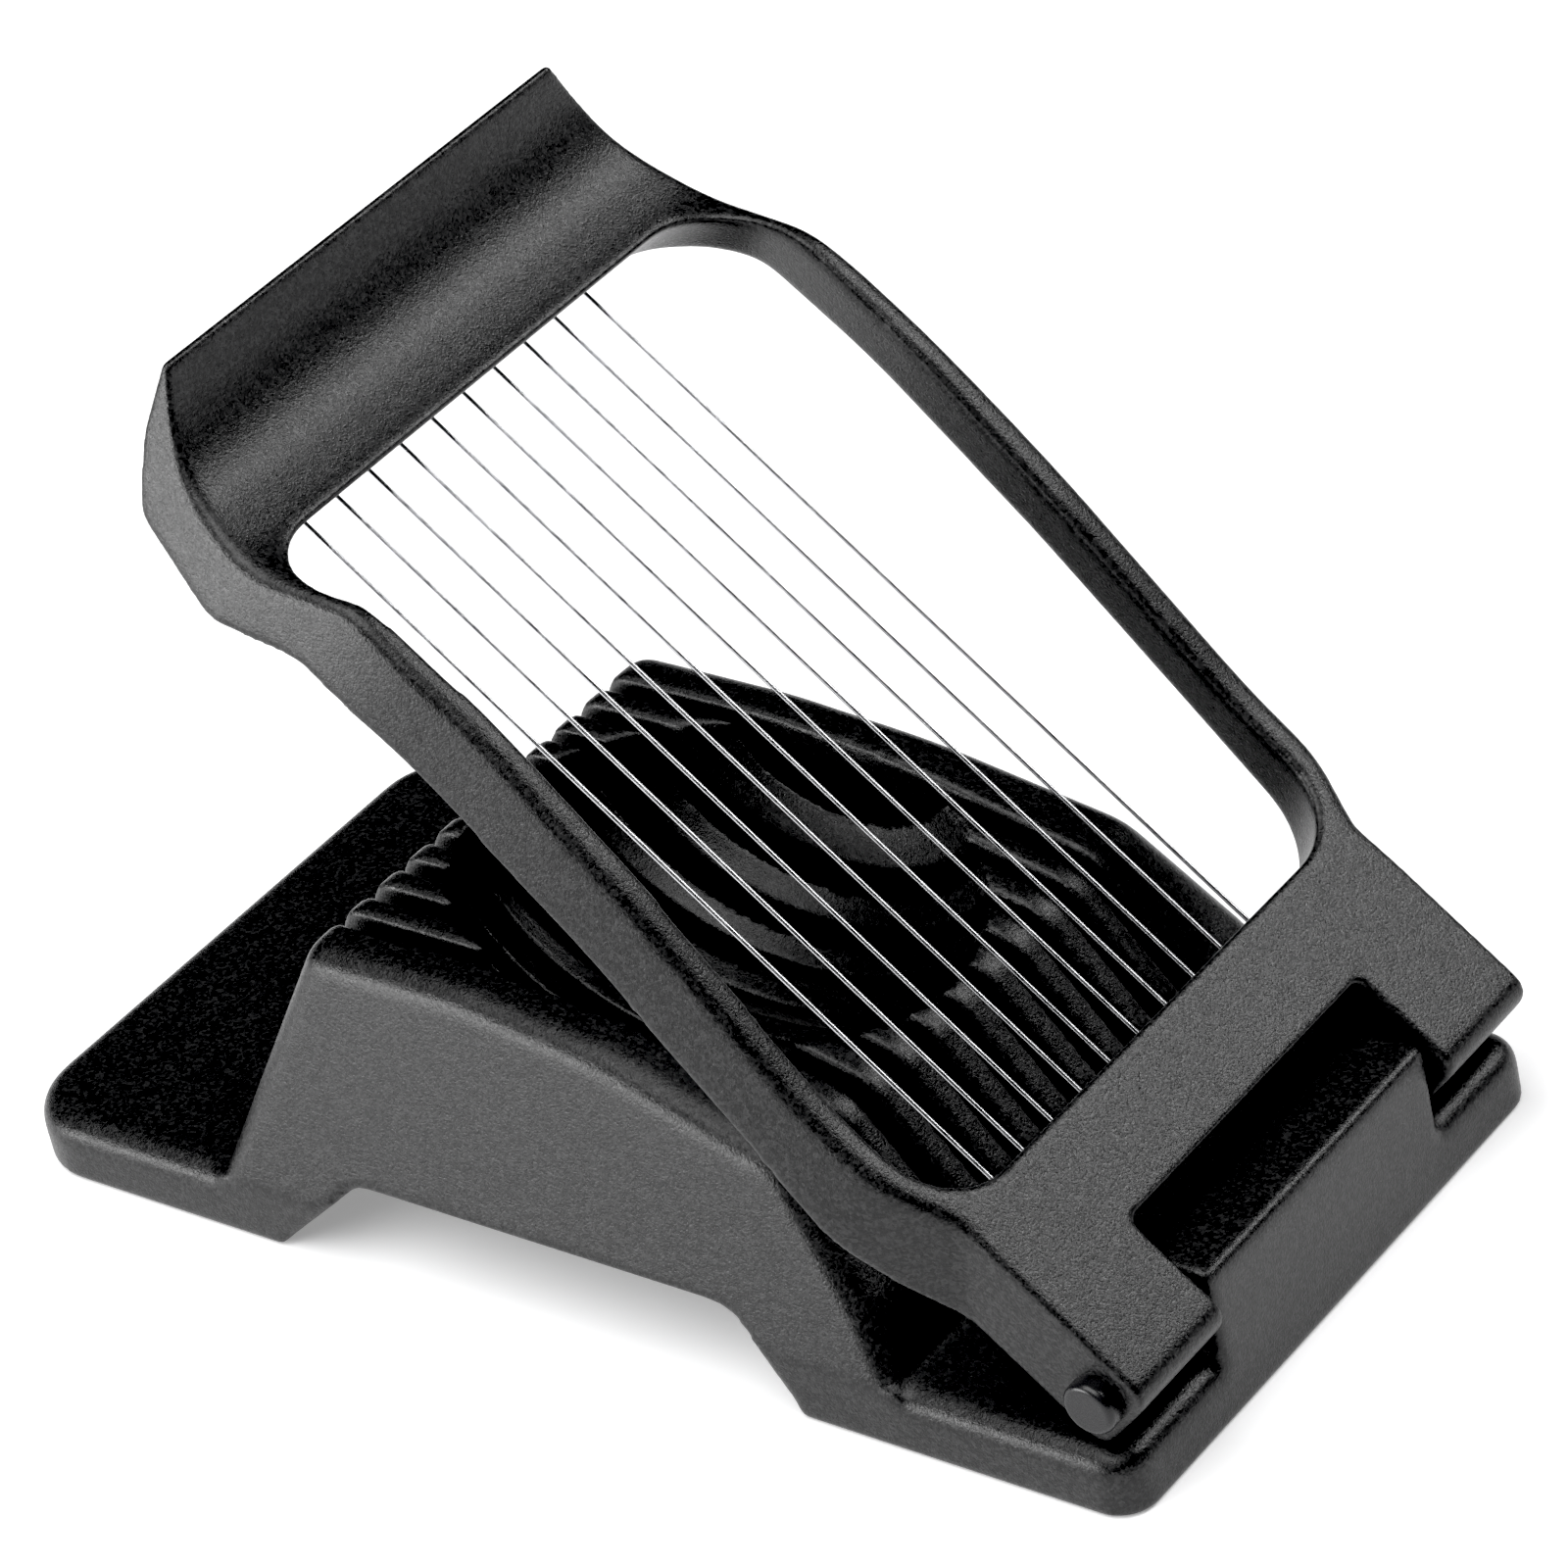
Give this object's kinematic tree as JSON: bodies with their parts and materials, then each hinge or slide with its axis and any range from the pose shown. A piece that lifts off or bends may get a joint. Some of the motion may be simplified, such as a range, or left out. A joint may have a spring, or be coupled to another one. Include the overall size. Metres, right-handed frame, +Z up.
{
  "type": "egg slicer",
  "caption": "Hand egg slicer: a cast base with a slotted egg cradle and a hinged frame of parallel cutting wires with a thumb scoop.",
  "frame": {"origin": "under the middle of the whole slicer at rest, on the surface it stands on", "axes": "+Z up, +X along the base towards the hinge, +Y across it; at rest the lid stands open by 40.48 degrees"},
  "size_m": [0.1479, 0.0812, 0.1062],
  "materials": {
    "powder_coat": "satin black powder coat with a fine grain",
    "wire_steel": "bright drawn stainless wire",
    "rod_steel": "ground steel rod",
    "cap_black": "semi-gloss black",
    "clamp_steel": "stamped stainless bar",
    "screw_steel": "plated countersunk screw"
  },
  "bodies": {
    "base": {"base": "powder_coat"},
    "lid": {"wire_frame": "powder_coat", "hinge_rod": "rod_steel", "rod_cap_near": "cap_black", "rod_cap_far": "cap_black", "cutting_wire_01": "wire_steel", "cutting_wire_02": "wire_steel", "cutting_wire_03": "wire_steel", "cutting_wire_04": "wire_steel", "cutting_wire_05": "wire_steel", "cutting_wire_06": "wire_steel", "cutting_wire_07": "wire_steel", "cutting_wire_08": "wire_steel", "cutting_wire_09": "wire_steel", "cutting_wire_10": "wire_steel", "wire_clamp_hinge": "clamp_steel", "wire_clamp_free": "clamp_steel", "clamp_screw_hinge_1": "screw_steel", "clamp_screw_hinge_2": "screw_steel", "clamp_screw_hinge_3": "screw_steel", "clamp_screw_free_1": "screw_steel", "clamp_screw_free_2": "screw_steel", "clamp_screw_free_3": "screw_steel"}
  },
  "joints": [
    {"name": "lid_hinge", "type": "hinge", "parent": "base", "child": "lid", "pos_m": [0.0689, 0, 0.01325], "axis": [0, 1, 0], "range_deg": [-40.48, 65]}
  ]
}
